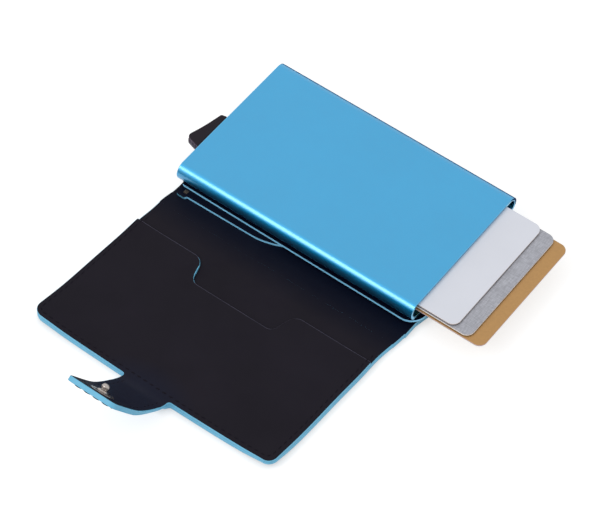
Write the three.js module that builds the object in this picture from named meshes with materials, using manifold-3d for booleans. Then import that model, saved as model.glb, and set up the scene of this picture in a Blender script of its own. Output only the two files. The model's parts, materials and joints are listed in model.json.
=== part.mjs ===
// Pop up card holder: an anodised aluminium card case with an ejector lever, fixed on a leather cover.
// Millimetres, +Z up. The origin lies under the middle of the case, on the surface that the cover rests on.
// X runs along the case, from its lever end (-X) to its open mouth (+X). The flap lies open towards -Y.
// Everything is drawn from the case's front lower corner, and the whole group is then moved to the origin.

import * as THREE from 'three';
import { mergeVertices } from 'three/addons/utils/BufferGeometryUtils.js';
import Module from 'manifold-3d';

const wasm = await Module();
wasm.setup();

// Aluminium case, sized from the cards with room beside them and behind them
const card_end_room = 19.4;
const card_side_room = 3.36;
const case_height = 8;
const case_top_wall = 1.2;
const case_side_wall = 1.8;

// Cards, of the usual bank card size
const card_length = 85.6;
const card_width = 53.98;
const card_thickness = 0.76;
const card_corner = 3.18;
const card_spacing = 0.1;
const card_stowed_inset = 0.8;
const white_reach = 15.07;
const silver_reach = 21.24;
const gold_reach = 26.88;
const white_side_shift = -0.89;
const silver_side_shift = -1.32;
const gold_side_shift = -1.83;

// Ejector lever and the plastic end cap that carries it
const lever_turn_deg = 41;
const pivot_inset_x = 9;
const pivot_inset_y = 7;
const pivot_radius = 1.5;
const lever_boss_radius = 4;
const lever_tip_width = 3.5;
const lever_floor_gap = 0.5;
const lever_roof_gap = 0.2;
const push_gap = 0.12;
const fin_reach = 6.8;
const fin_tip_reach = 2.4;
const fin_root_y = 15.5;
const fin_tip_y = 31;
const fin_end_gap = 0.8;
const fin_web_length = 11;
const fin_corner = 1.6;
const fin_tip_corner = 0.5;
const fin_rib_count = 5;
const fin_rib_pitch = 1.7;
const fin_rib_width = 0.7;
const fin_rib_height = 0.3;
const cap_length = 16.2;
const cap_recess = 0.3;
const cap_fit_gap = 0.15;
const cap_wall = 1.7;
const cap_floor = 0.5;
const cap_roof = 0.5;
const cap_ear_length = 14;
const cap_ear_width = 14;
const cap_pocket_front = 2.5;
const cap_pocket_inset = 2.8;
const cap_slot_front = 4.6;
const cap_slot_back = 27;
const washer_outer_radius = 3.4;
const washer_thickness = 0.3;

// Leaf spring and grip strips inside the case
const spring_length = 44;
const spring_width = 14;
const spring_thickness = 0.3;
const spring_setback = 5.7;
const spring_foot = 4;
const strip_length = 40;
const strip_height = 2.4;
const strip_thickness = 1.1;
const strip_mouth_inset = 4;
const strip_bedding = 0.05;

// Leather layers
const leather_thickness = 1.4;
const lining_thickness = 1;
const rear_panel_thickness = 1;
const pocket_thickness = 1.2;
const pad_thickness = 0.25;
const pad_inset = 6;

// Rear cover outline, measured from the case's lever end and front edge
const cover_left = 0.8;
const cover_overhang = 1;
const cover_back_inset = 0.2;
const cover_corner = 6;
const panel_left = 2;
const panel_overhang = 1.4;
const panel_front = 0.3;
const panel_corner = 6.5;
const panel_front_corner = 1.5;
const slip_left = 2.8;
const slip_overhang = 0.4;
const slip_front = -2;
const slip_bend_x = 43.3;
const slip_bend_radius = 12;
const slip_bend_run = 18;
const slip_bend_rise = 11;
const slip_ear_width = 5;
const slip_ear_reach = 1;

// Folds, spine and flap
const fold_gap = 0.3;
const fold_y = -3.4;
const flap_close_gap = 0.6;
const flap_closed_deg = 88.5;
const spine_left = 0.7;
const spine_setback = 0.1;
const flap_shortfall = 4.35;
const flap_end_left = -4.9;
const flap_end_setback = 4.4;
const flap_corner = 4;

// Flap pocket with its thumb notch
const pocket_setback = 5.45;
const pocket_notch_depth = 10.2;
const notch_left = 29.2;
const notch_left_lean = 1.2;
const notch_right = 68;
const notch_right_lean = 1.4;
const notch_mouth_radius = 3.5;
const notch_floor_radius = 3.2;

// Closing strap
const strap_centre_x = 46.9;
const strap_width = 20.2;
const strap_length = 42.4;
const strap_thickness = 2;
const strap_root_curl_length = 5.4;
const strap_root_curl_deg = 38;
const strap_curl_length = 20;
const strap_curl_deg = 20;
const strap_neck_s = 9.2;
const strap_end_s = 22.4;
const strap_corner = 2.5;
const strap_left_fillet = 1.2;
const strap_right_fillet = 2;
const strap_split_relief = 0.5;
const strap_glue = 0.05;

// Snap fastener
const stud_s = 33.2;
const stud_ring_radius = 4.6;
const stud_ring_height = 0.4;
const stud_ring_seat = 0.1;
const stud_cone_radius = 2.1;
const stud_cone_height = 1.4;
const stud_waist_radius = 1.1;
const stud_ball_radius = 1.5;
const stud_ball_height = 2.6;
const stud_post_radius = 1.2;
const stud_cap_radius = 4.5;
const stud_cap_height = 0.5;
const socket_radius = 4.5;
const socket_bore_radius = 2.1;
const socket_mouth_radius = 1.9;
const socket_height = 2.3;
const socket_lip = 0.5;
const socket_spring_radius = 0.25;
const seat_gap = 0.3;
const pivot_fit = 0.06;
const stud_room_radius = 2.4;

// Facets
const arc_steps = 6;
const round_steps = 24;
const edge_steps = 12;
const face_steps = 12;
const curl_steps = 16;
const overrun = 3;

// Heights
const cover_top = leather_thickness;
const lining_top = cover_top + lining_thickness;
const slip_top = lining_top + rear_panel_thickness;
const panel_top = slip_top + rear_panel_thickness;
const case_floor = panel_top + pad_thickness;
const case_top = case_floor + case_height;
const cavity_floor = case_floor + case_top_wall;
const cavity_roof = case_top - case_top_wall;
const cavity_middle = (cavity_floor + cavity_roof) / 2;
const cavity_radius = (cavity_roof - cavity_floor) / 2;

// Places that follow from the sizes above
const case_length = card_length + card_end_room;
const case_width = card_width + 2 * (card_side_room + case_side_wall);
const spine_length = case_top + flap_close_gap + pocket_thickness - lining_top;
const flap_fold_y = fold_y - spine_length;
const flap_end_y = flap_fold_y - case_width + flap_shortfall;
const pocket_mouth_y = flap_fold_y - pocket_setback;
const pocket_notch_y = pocket_mouth_y - pocket_notch_depth;
const cover_right = case_length + cover_overhang;
const panel_right = case_length + panel_overhang;
const slip_right = case_length + slip_overhang;
const spine_right = case_length - spine_setback;
const flap_end_right = case_length - flap_end_setback;
const turn = THREE.MathUtils.degToRad(lever_turn_deg);

// Materials
function finish(color, roughness, metalness) {
  return new THREE.MeshStandardMaterial({ color, roughness, metalness });
}
const blue_aluminium = finish(0x4fa6dc, 0.32, 0.85);
const black_plastic = finish(0x2c2b30, 0.45, 0);
const bright_steel = finish(0xc3beb4, 0.28, 1);
const spring_steel = finish(0x9fa2a6, 0.35, 1);
const black_felt = finish(0x1c1b1e, 0.95, 0);
const grey_adhesive = finish(0x8c9096, 0.8, 0);
const blue_leather = finish(0x6dbce6, 0.55, 0);
const black_leather = finish(0x26242a, 0.5, 0);
const white_card_stock = finish(0xe4e6ec, 0.35, 0);
const silver_card_stock = finish(0xa8aab4, 0.35, 0.3);
const gold_card_stock = finish(0xbd9660, 0.35, 0.3);

// A closed outline through [x, y, radius] corners, each rounded by its own radius
function rounded(corners) {
  const points = [];
  const count = corners.length;
  for (let i = 0; i < count; i += 1) {
    const [x, y, radius = 0] = corners[i];
    const here = new THREE.Vector2(x, y);
    if (radius === 0) {
      points.push(here);
      continue;
    }
    const before = corners[(i + count - 1) % count];
    const after = corners[(i + 1) % count];
    const into = new THREE.Vector2(before[0], before[1]).sub(here).normalize();
    const away = new THREE.Vector2(after[0], after[1]).sub(here).normalize();
    const half_angle = Math.acos(THREE.MathUtils.clamp(into.dot(away), -1, 1)) / 2;
    const centre = into.clone().add(away).normalize().multiplyScalar(radius / Math.sin(half_angle)).add(here);
    const back = into.clone().multiplyScalar(radius / Math.tan(half_angle)).add(here);
    const from = Math.atan2(back.y - centre.y, back.x - centre.x);
    const ahead = away.clone().multiplyScalar(radius / Math.tan(half_angle)).add(here);
    const to = Math.atan2(ahead.y - centre.y, ahead.x - centre.x);
    const sweep = Math.atan2(Math.sin(to - from), Math.cos(to - from));
    for (let k = 0; k <= arc_steps; k += 1) {
      const angle = from + (sweep * k) / arc_steps;
      points.push(new THREE.Vector2(centre.x + radius * Math.cos(angle), centre.y + radius * Math.sin(angle)));
    }
  }
  return new THREE.Shape(points);
}

// A flat plate of an outline in plan, between two heights
function plate(shape, bottom, top) {
  const geometry = new THREE.ExtrudeGeometry(shape, { depth: top - bottom, bevelEnabled: false });
  return geometry.translate(0, 0, bottom);
}

// An outline in (y, z), drawn out along X between two stations
function along_x(shape, start, end) {
  const geometry = new THREE.ExtrudeGeometry(shape, { depth: end - start, bevelEnabled: false });
  const turned = new THREE.Matrix4().set(0, 0, 1, start, 1, 0, 0, 0, 0, 1, 0, 0, 0, 0, 0, 1);
  return geometry.applyMatrix4(turned);
}

function box(low, high) {
  const size = [high[0] - low[0], high[1] - low[1], high[2] - low[2]];
  const geometry = new THREE.BoxGeometry(...size);
  return geometry.translate((low[0] + high[0]) / 2, (low[1] + high[1]) / 2, (low[2] + high[2]) / 2);
}

// A round post standing at (x, y) between two heights
function post(x, y, radius, bottom, top, steps = round_steps) {
  const geometry = new THREE.CylinderGeometry(radius, radius, top - bottom, steps);
  return geometry.rotateX(Math.PI / 2).translate(x, y, (bottom + top) / 2);
}

// A turned piece: its [radius, height] profile is closed and its axis is +Z
function turned(profile) {
  const points = profile.map(([radius, height]) => new THREE.Vector2(radius, height));
  return new THREE.LatheGeometry(points, round_steps).rotateX(Math.PI / 2);
}

function solid(geometry) {
  const bare = geometry.clone();
  bare.deleteAttribute('normal');
  bare.deleteAttribute('uv');
  const merged = mergeVertices(bare);
  const index = merged.index ?? mergeVertices(bare).index;
  return new wasm.Manifold(new wasm.Mesh({
    numProp: 3,
    vertProperties: new Float32Array(merged.attributes.position.array),
    triVerts: new Uint32Array(index.array),
  }));
}

function shell_of(manifold) {
  const mesh = manifold.getMesh();
  const geometry = new THREE.BufferGeometry();
  geometry.setAttribute('position', new THREE.BufferAttribute(mesh.vertProperties, 3));
  geometry.setIndex(new THREE.BufferAttribute(mesh.triVerts, 1));
  geometry.computeVertexNormals();
  return geometry;
}

function cut(geometry, ...tools) {
  return shell_of(tools.reduce((body, tool) => body.subtract(solid(tool)), solid(geometry)));
}

function join(...geometries) {
  return shell_of(geometries.slice(1).reduce((body, more) => body.add(solid(more)), solid(geometries[0])));
}

function common(geometry, other) {
  return shell_of(solid(geometry).intersect(solid(other)));
}

function piece(name, geometry, material) {
  const mesh = new THREE.Mesh(geometry, material);
  mesh.name = name;
  return mesh;
}

// A flat-topped outline with half round sides, in (y, z), as the case's section has
function stadium(front, back, bottom, top) {
  const radius = (top - bottom) / 2;
  const middle = (top + bottom) / 2;
  const points = [];
  for (let k = 0; k <= edge_steps; k += 1) {
    const angle = -Math.PI / 2 + (Math.PI * k) / edge_steps;
    points.push(new THREE.Vector2(back - radius + radius * Math.cos(angle), middle + radius * Math.sin(angle)));
  }
  for (let k = 0; k <= edge_steps; k += 1) {
    const angle = Math.PI / 2 + (Math.PI * k) / edge_steps;
    points.push(new THREE.Vector2(front + radius + radius * Math.cos(angle), middle + radius * Math.sin(angle)));
  }
  return new THREE.Shape(points);
}

// Card stack, from the top card down
const cards = [
  { name: 'card_white', reach: white_reach, shift: white_side_shift, material: white_card_stock },
  { name: 'card_silver', reach: silver_reach, shift: silver_side_shift, material: silver_card_stock },
  { name: 'card_gold', reach: gold_reach, shift: gold_side_shift, material: gold_card_stock },
];
cards.forEach((card, layer) => {
  card.top = cavity_roof - card_spacing - layer * (card_thickness + card_spacing);
  card.bottom = card.top - card_thickness;
  card.rear = case_length + card.reach - card_length;
  card.travel = card.reach + card_stowed_inset;
});
const last_card = cards[cards.length - 1];
const stack_bottom = last_card.bottom;
const spring_start_x = last_card.rear + spring_setback;

function make_card(card) {
  const middle = case_width / 2 + card.shift;
  const front = middle - card_width / 2;
  const back = middle + card_width / 2;
  const lead = card.rear + card_length;
  const outline = rounded([
    [card.rear, front, card_corner],
    [lead, front, card_corner],
    [lead, back, card_corner],
    [card.rear, back, card_corner],
  ]);
  return piece(card.name, plate(outline, card.bottom, card.top), card.material);
}

function make_case() {
  const outside = along_x(stadium(0, case_width, case_floor, case_top), 0, case_length);
  const inside = stadium(case_side_wall, case_width - case_side_wall, cavity_floor, cavity_roof);
  return piece('case_shell', cut(outside, along_x(inside, -overrun, case_length + overrun)), blue_aluminium);
}

// End cap: a plug in the lever end with a floor, an ear over the pivot and a slot for the lever's web
const cap_bottom = cavity_floor + cap_fit_gap;
const cap_roof_top = cavity_roof - cap_fit_gap;
const cap_floor_top = cap_bottom + cap_floor;
const cap_roof_bottom = cap_roof_top - cap_roof;
const lever_bottom = cap_floor_top + lever_floor_gap;
const lever_web_top = cap_roof_bottom - lever_roof_gap;

function make_end_cap() {
  const front = case_side_wall + cap_fit_gap;
  const back = case_width - front;
  const plug = along_x(stadium(front, back, cap_bottom, cap_roof_top), cap_recess, cap_recess + cap_length);
  const inner_face = cap_recess + cap_wall;
  const pocket = box(
    [inner_face, cap_pocket_front, cap_floor_top],
    [cap_recess + cap_length + overrun, case_width - cap_pocket_inset, cap_roof_top + overrun],
  );
  const ear = box(
    [inner_face - overrun, cap_pocket_front - overrun, cap_roof_bottom],
    [cap_ear_length, cap_ear_width, cap_roof_top + 2 * overrun],
  );
  const room = cut(pocket, ear);
  const slot = box(
    [cap_recess - overrun, cap_slot_front, cap_floor_top],
    [inner_face + overrun, cap_slot_back, cap_roof_bottom],
  );
  const bore = post(
    pivot_inset_x, pivot_inset_y, pivot_radius + pivot_fit, cap_bottom - overrun, cap_roof_top + overrun,
  );
  return piece('end_cap', cut(plug, room, slot, bore), black_plastic);
}

// Push face of one lever step: an involute about the pivot, so that the card moves in step with the turn
function push_face(card) {
  const base = card.travel / turn;
  const last = (card.rear - push_gap - pivot_inset_x) / base;
  const points = [];
  for (let k = 0; k <= face_steps; k += 1) {
    const t = last - turn + (turn * k) / face_steps;
    const angle = Math.PI / 2 - (last - t);
    points.push([
      pivot_inset_x + base * (Math.cos(angle) + t * Math.sin(angle)),
      pivot_inset_y + base * (Math.sin(angle) - t * Math.cos(angle)),
    ]);
  }
  return points;
}

function lever_step(card, top) {
  const face = push_face(card);
  const [root_x, root_y] = face[0];
  const [tip_x, tip_y] = face[face.length - 1];
  const root_angle = Math.atan2(root_y - pivot_inset_y, root_x - pivot_inset_x) - Math.PI / 2;
  const tip_angle = Math.atan2(tip_y - pivot_inset_y, tip_x - pivot_inset_x) + Math.PI / 2;
  const front = [
    pivot_inset_x + lever_boss_radius * Math.cos(root_angle),
    pivot_inset_y + lever_boss_radius * Math.sin(root_angle),
  ];
  const tip_back = [tip_x + lever_tip_width * Math.cos(tip_angle), tip_y + lever_tip_width * Math.sin(tip_angle)];
  const back = [
    pivot_inset_x + lever_boss_radius * Math.cos(tip_angle),
    pivot_inset_y + lever_boss_radius * Math.sin(tip_angle),
  ];
  const outline = [front, ...face, tip_back, back].map(([x, y]) => new THREE.Vector2(x, y));
  return plate(new THREE.Shape(outline), lever_bottom, top);
}

function make_lever() {
  const steps = cards.map((card) => lever_step(card, card.top - card_spacing / 2));
  const boss = post(pivot_inset_x, pivot_inset_y, lever_boss_radius, lever_bottom, lever_web_top);
  const fin_bottom = cap_floor_top;
  const fin_top = cap_roof_top - lever_roof_gap;
  const fin = plate(rounded([
    [-fin_end_gap, fin_root_y, fin_corner / 2],
    [-fin_end_gap, fin_tip_y, fin_tip_corner],
    [-fin_tip_reach, fin_tip_y, fin_tip_corner],
    [-fin_reach, fin_root_y + fin_corner, fin_corner],
    [-fin_reach + fin_corner, fin_root_y, fin_corner],
  ]), fin_bottom, fin_top);
  const web = plate(rounded([
    [pivot_inset_x, pivot_inset_y - lever_boss_radius],
    [pivot_inset_x, pivot_inset_y + lever_boss_radius],
    [-fin_end_gap - fin_corner, fin_root_y + fin_web_length],
    [-fin_end_gap - fin_corner, fin_root_y + fin_corner],
  ]), lever_bottom, lever_web_top);
  const lean = Math.atan2(fin_reach - fin_tip_reach, fin_tip_y - fin_root_y - fin_corner);
  const ribs = [];
  for (let k = 1; k <= fin_rib_count; k += 1) {
    const rib = box(
      [-fin_rib_height, k * fin_rib_pitch, fin_bottom + seat_gap],
      [fin_rib_height, k * fin_rib_pitch + fin_rib_width, fin_top - seat_gap],
    );
    rib.rotateZ(-lean).translate(-fin_reach, fin_root_y + fin_corner, 0);
    ribs.push(rib);
  }
  const whole = join(...steps, boss, web, fin, ...ribs);
  const ear_reach = Math.hypot(cap_ear_length - pivot_inset_x, cap_ear_width - pivot_inset_y);
  const clearance = post(
    pivot_inset_x, pivot_inset_y, ear_reach + seat_gap, lever_web_top, cap_roof_top + overrun,
  );
  const bore = post(pivot_inset_x, pivot_inset_y, pivot_radius + pivot_fit, lever_bottom - overrun, case_top);
  return piece('ejector_lever', cut(whole, clearance, bore), black_plastic);
}

function make_pivot_pin() {
  const pin = post(pivot_inset_x, pivot_inset_y, pivot_radius, cap_bottom, cap_roof_top);
  return piece('pivot_pin', pin, bright_steel);
}

function make_pivot_washer() {
  const middle = (cap_floor_top + lever_bottom) / 2;
  const low = middle - washer_thickness / 2;
  const high = middle + washer_thickness / 2;
  const disc = post(pivot_inset_x, pivot_inset_y, washer_outer_radius, low, high);
  const bore = post(pivot_inset_x, pivot_inset_y, pivot_radius + pivot_fit, low - overrun, high + overrun);
  return piece('pivot_washer', cut(disc, bore), bright_steel);
}

// Bowed leaf spring that lifts the card stack against the case's roof
function make_spring() {
  const low = cavity_floor + card_spacing;
  const rise = stack_bottom - card_spacing - spring_thickness - low;
  const middle = case_width / 2;
  const run = spring_length - 2 * spring_foot;
  const upper = [];
  const lower = [];
  for (let k = 0; k <= curl_steps; k += 1) {
    const share = k / curl_steps;
    const x = spring_start_x + spring_foot + run * share;
    const z = low + (rise * (1 - Math.cos(2 * Math.PI * share))) / 2;
    lower.push(new THREE.Vector2(x, z));
    upper.unshift(new THREE.Vector2(x, z + spring_thickness));
  }
  const end_x = spring_start_x + spring_length;
  const outline = new THREE.Shape([
    new THREE.Vector2(spring_start_x, low), ...lower, new THREE.Vector2(end_x, low),
    new THREE.Vector2(end_x, low + spring_thickness), ...upper,
    new THREE.Vector2(spring_start_x, low + spring_thickness),
  ]);
  const geometry = new THREE.ExtrudeGeometry(outline, { depth: spring_width, bevelEnabled: false });
  geometry.rotateX(Math.PI / 2).translate(0, middle + spring_width / 2, 0);
  return piece('stack_spring', geometry, spring_steel);
}

// Felt strips on the side walls, near the mouth
function make_strip(name, wall_y, inward) {
  const low = cavity_middle - strip_height / 2;
  const high = cavity_middle + strip_height / 2;
  const start = case_length - strip_mouth_inset - strip_length;
  const curve_depth = cavity_radius - Math.sqrt(cavity_radius ** 2 - (strip_height / 2) ** 2);
  const near = wall_y + inward * (curve_depth + strip_bedding);
  const far = near + inward * strip_thickness;
  const strip = box(
    [start, Math.min(near, far), low],
    [start + strip_length, Math.max(near, far), high],
  );
  return piece(name, strip, black_felt);
}

// Rear cover and the flat panels on it
const cover_back = case_width - cover_back_inset;
const cover_front = fold_y + fold_gap / 2;

function rear_outline() {
  return rounded([
    [cover_left, cover_front],
    [cover_right, cover_front],
    [cover_right, cover_back, cover_corner],
    [cover_left, cover_back, cover_corner],
  ]);
}

// The closed cover brings the stud to this place on the rear cover: the strap's root rests on the case's
// back edge, its neck stands upright behind the case, and its end lies flat under the rear cover
const stud_y_closed = closed_stud_y();

function closed_stud_y() {
  const neck = strap_point(strap_neck_s, 0);
  const fold = strap_point(strap_end_s, 0);
  const stud = strap_point(stud_s, 0);
  const tilt = strap_angle(strap_length);
  const along = (fold.x - stud.x) * Math.cos(tilt) + (stud.y - fold.y) * Math.sin(tilt);
  const lift = THREE.MathUtils.degToRad(90 - flap_closed_deg);
  const reach = (flap_fold_y - neck.x) * Math.cos(lift) + (neck.y - lining_top) * Math.sin(lift);
  return fold_y + reach - along;
}

function socket_hole() {
  return post(strap_centre_x, stud_y_closed, socket_radius + seat_gap, -overrun, lining_top + overrun);
}

// Room above the socket for the top of the stud
function stud_room() {
  return post(strap_centre_x, stud_y_closed, stud_room_radius, lining_top - overrun, panel_top + overrun);
}

function make_rear_cover() {
  return piece('rear_cover', cut(plate(rear_outline(), 0, cover_top), socket_hole()), blue_leather);
}

function make_rear_lining() {
  return piece('rear_lining', cut(plate(rear_outline(), cover_top, lining_top), socket_hole()), black_leather);
}

function make_slip_panel() {
  const bend_end = slip_bend_x + slip_bend_run;
  const inset_front = slip_front + slip_bend_rise;
  const ear_front = slip_front - slip_ear_reach;
  const outline = rounded([
    [slip_left, ear_front, slip_ear_reach],
    [slip_left + slip_ear_width, ear_front, slip_ear_reach],
    [slip_left + slip_ear_width + slip_ear_reach, slip_front],
    [slip_bend_x, slip_front, slip_bend_radius],
    [bend_end, inset_front],
    [slip_right, inset_front],
    [slip_right, cover_back, cover_corner],
    [slip_left, cover_back, cover_corner],
  ]);
  return piece('slip_pocket_panel', cut(plate(outline, lining_top, slip_top), stud_room()), black_leather);
}

function make_case_panel() {
  const outline = rounded([
    [panel_left, panel_front, panel_front_corner],
    [panel_right, panel_front, panel_corner],
    [panel_right, cover_back, panel_corner],
    [panel_left, cover_back, panel_corner],
  ]);
  return piece('case_panel', cut(plate(outline, slip_top, panel_top), stud_room()), black_leather);
}

function make_pad() {
  const outline = rounded([
    [pad_inset, pad_inset],
    [case_length - pad_inset, pad_inset],
    [case_length - pad_inset, case_width - pad_inset],
    [pad_inset, case_width - pad_inset],
  ]);
  return piece('adhesive_pad', plate(outline, panel_top, case_floor), grey_adhesive);
}

// Sides of the spine and flap, which lean a little towards the lever end
function side_x(y, root, end) {
  return root + ((end - root) * (y - fold_y)) / (flap_end_y - fold_y);
}
function left_x(y) {
  return side_x(y, spine_left, flap_end_left);
}
function right_x(y) {
  return side_x(y, spine_right, flap_end_right);
}

function spine_outline() {
  const back = fold_y - fold_gap / 2;
  const front = flap_fold_y + fold_gap / 2;
  return rounded([
    [left_x(front), front],
    [right_x(front), front],
    [right_x(back), back],
    [left_x(back), back],
  ]);
}

function flap_outline() {
  const back = flap_fold_y - fold_gap / 2;
  return rounded([
    [left_x(flap_end_y), flap_end_y, flap_corner],
    [right_x(flap_end_y), flap_end_y, flap_corner],
    [right_x(back), back],
    [left_x(back), back],
  ]);
}

function make_flap_pocket() {
  const outline = rounded([
    [left_x(flap_end_y), flap_end_y, flap_corner],
    [right_x(flap_end_y), flap_end_y, flap_corner],
    [right_x(pocket_mouth_y), pocket_mouth_y],
    [notch_right + notch_right_lean, pocket_mouth_y, notch_mouth_radius],
    [notch_right, pocket_notch_y, notch_floor_radius],
    [notch_left + notch_left_lean, pocket_notch_y, notch_floor_radius],
    [notch_left, pocket_mouth_y, notch_mouth_radius],
    [left_x(pocket_mouth_y), pocket_mouth_y],
  ]);
  return piece('flap_pocket', plate(outline, lining_top, lining_top + pocket_thickness), black_leather);
}

// The strap's centre line on its inner face: flat on the flap, then curling up. Returned as (y, z).
function strap_angle(s) {
  const root = THREE.MathUtils.degToRad(strap_root_curl_deg);
  const more = THREE.MathUtils.degToRad(strap_curl_deg);
  if (s <= 0) return 0;
  if (s < strap_root_curl_length) return (root * s) / strap_root_curl_length;
  const share = Math.min((s - strap_root_curl_length) / strap_curl_length, 1);
  return root + more * share;
}

function strap_point(s, depth) {
  const start = new THREE.Vector2(flap_end_y - Math.min(s, 0), lining_top);
  const count = 4 * curl_steps;
  const run = Math.max(s, 0) / count;
  for (let k = 0; k < count; k += 1) {
    const angle = strap_angle(run * (k + 1 / 2));
    start.x -= run * Math.cos(angle);
    start.y += run * Math.sin(angle);
  }
  const angle = strap_angle(s);
  start.x -= depth * Math.sin(angle);
  start.y -= depth * Math.cos(angle);
  return start;
}

// Places along the strap from one to another: one step over the flat, then even steps round the curl
function stations(from, to) {
  const curved = Math.max(from, 0);
  const places = from < 0 ? [from] : [];
  for (let k = 0; k <= curl_steps; k += 1) {
    places.push(curved + ((to - curved) * k) / curl_steps);
  }
  return places;
}

// One stretch of the strap's layer between two depths, its ends relieved towards the outside of the fold
function strap_stretch(from, to, near, far, width, start_relief, end_relief) {
  const line = (depth) => {
    const start = from + (start_relief * depth) / strap_thickness;
    const end = to - (end_relief * depth) / strap_thickness;
    return stations(start, end).map((s) => strap_point(s, depth));
  };
  const shape = new THREE.Shape([...line(near), ...line(far).reverse()]);
  return along_x(shape, strap_centre_x - width / 2, strap_centre_x + width / 2);
}

// The strap's root on the flap, with a fillet on each side
function strap_root_prism() {
  const left = strap_centre_x - strap_width / 2;
  const right = strap_centre_x + strap_width / 2;
  const inside = flap_end_y + strap_right_fillet;
  const far = flap_end_y - strap_length;
  const outline = rounded([
    [left - 2 * strap_left_fillet, inside],
    [left - 2 * strap_left_fillet, flap_end_y],
    [left, flap_end_y, strap_left_fillet],
    [left, far],
    [right, far],
    [right, flap_end_y, strap_right_fillet],
    [right + 2 * strap_right_fillet, flap_end_y],
    [right + 2 * strap_right_fillet, inside],
  ]);
  return plate(outline, -overrun, strap_length);
}

function strap_root(near, far) {
  const width = strap_width + 4 * strap_right_fillet;
  const reach = strap_neck_s - fold_gap / 2;
  const layer = strap_stretch(-strap_right_fillet, reach, near, far, width, 0, strap_split_relief);
  return common(layer, strap_root_prism());
}

function make_flap_cover() {
  const body = plate(flap_outline(), 0, cover_top);
  return piece('flap_cover', join(body, strap_root(lining_thickness + strap_glue, strap_thickness)), blue_leather);
}

function make_flap_lining() {
  const body = plate(flap_outline(), cover_top, lining_top);
  return piece('flap_lining', join(body, strap_root(0, lining_thickness)), black_leather);
}

function make_strap_neck(name, near, far, material) {
  const from = strap_neck_s + fold_gap / 2;
  const to = strap_end_s - fold_gap / 2;
  const relief = strap_split_relief;
  return piece(name, strap_stretch(from, to, near, far, strap_width, relief, relief), material);
}

// The strap's end plane: its tilt, and the matrix that lays a piece modelled flat onto the strap at s
const end_tilt = strap_angle(strap_length);
function onto_strap(s, depth) {
  const place = strap_point(s, depth);
  return new THREE.Matrix4().makeTranslation(strap_centre_x, place.x, place.y)
    .multiply(new THREE.Matrix4().makeRotationX(-end_tilt));
}

// What a rounded corner takes off the strap's end: side is 1 at the right and -1 at the left
function corner_bite(side) {
  const half = strap_width / 2;
  const points = [
    new THREE.Vector2(side * (half - strap_corner), -overrun),
    new THREE.Vector2(side * (half + overrun), -overrun),
    new THREE.Vector2(side * (half + overrun), strap_corner),
  ];
  for (let k = 0; k <= arc_steps; k += 1) {
    const angle = (Math.PI * k) / (2 * arc_steps);
    const across = half - strap_corner + strap_corner * Math.cos(angle);
    points.push(new THREE.Vector2(side * across, strap_corner - strap_corner * Math.sin(angle)));
  }
  const bite = plate(new THREE.Shape(points), -strap_width, strap_width);
  return bite.applyMatrix4(onto_strap(strap_length, 0));
}

function make_strap_end(name, near, far, material) {
  const from = strap_end_s + fold_gap / 2;
  const layer = strap_stretch(from, strap_length, near, far, strap_width, strap_split_relief, 0);
  const bore = post(0, 0, stud_post_radius + seat_gap, -strap_width, strap_width);
  bore.applyMatrix4(onto_strap(stud_s, 0));
  return piece(name, cut(layer, corner_bite(1), corner_bite(-1), bore), material);
}

// Snap fastener
function make_stud() {
  const post_foot = seat_gap - strap_thickness;
  const ring_base = stud_ring_seat;
  const cone_base = ring_base + stud_ring_height;
  const profile = [
    [0, post_foot],
    [stud_post_radius, post_foot],
    [stud_post_radius, ring_base],
    [stud_ring_radius, ring_base],
    [stud_ring_radius, cone_base],
    [stud_cone_radius, cone_base],
    [stud_waist_radius, stud_cone_height],
  ];
  const waist_angle = Math.asin(stud_waist_radius / stud_ball_radius) - Math.PI;
  for (let k = 0; k <= arc_steps; k += 1) {
    const angle = waist_angle * (1 - k / arc_steps);
    const radius = k === arc_steps ? 0 : Math.abs(stud_ball_radius * Math.sin(angle));
    profile.push([radius, stud_ball_height + stud_ball_radius * Math.cos(angle)]);
  }
  return piece('snap_stud', turned(profile).applyMatrix4(onto_strap(stud_s, 0)), bright_steel);
}

function make_stud_cap() {
  const top = -(strap_thickness + seat_gap);
  const profile = [[0, top - stud_cap_height]];
  for (let k = 1; k <= arc_steps; k += 1) {
    const share = k / arc_steps;
    profile.push([stud_cap_radius * share, top - stud_cap_height * Math.sqrt(1 - share * share * 0.75)]);
  }
  profile.push([stud_cap_radius, top], [0, top]);
  return piece('stud_cap', turned(profile).applyMatrix4(onto_strap(stud_s, 0)), bright_steel);
}

function make_socket() {
  const profile = [
    [socket_mouth_radius, 0],
    [socket_radius, 0],
    [socket_radius, socket_height],
    [socket_bore_radius, socket_height],
    [socket_bore_radius, socket_lip],
    [socket_mouth_radius, socket_lip],
    [socket_mouth_radius, 0],
  ];
  const geometry = turned(profile).translate(strap_centre_x, stud_y_closed, 0);
  return piece('snap_socket', geometry, bright_steel);
}

const group = new THREE.Group();
group.add(
  make_case(),
  make_end_cap(),
  make_lever(),
  make_pivot_pin(),
  make_pivot_washer(),
  make_spring(),
  make_strip('grip_strip_front', case_side_wall, 1),
  make_strip('grip_strip_back', case_width - case_side_wall, -1),
  ...cards.map(make_card),
  make_pad(),
  make_case_panel(),
  make_slip_panel(),
  make_rear_lining(),
  make_rear_cover(),
  piece('spine_cover', plate(spine_outline(), 0, cover_top), blue_leather),
  piece('spine_lining', plate(spine_outline(), cover_top, lining_top), black_leather),
  make_flap_cover(),
  make_flap_lining(),
  make_flap_pocket(),
  make_strap_neck('strap_neck_cover', lining_thickness + strap_glue, strap_thickness, blue_leather),
  make_strap_neck('strap_neck_lining', 0, lining_thickness, black_leather),
  make_strap_end('strap_end_cover', lining_thickness + strap_glue, strap_thickness, blue_leather),
  make_strap_end('strap_end_lining', 0, lining_thickness, black_leather),
  make_stud(),
  make_stud_cap(),
  make_socket(),
);
group.position.set(-case_length / 2, -case_width / 2, 0);
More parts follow.
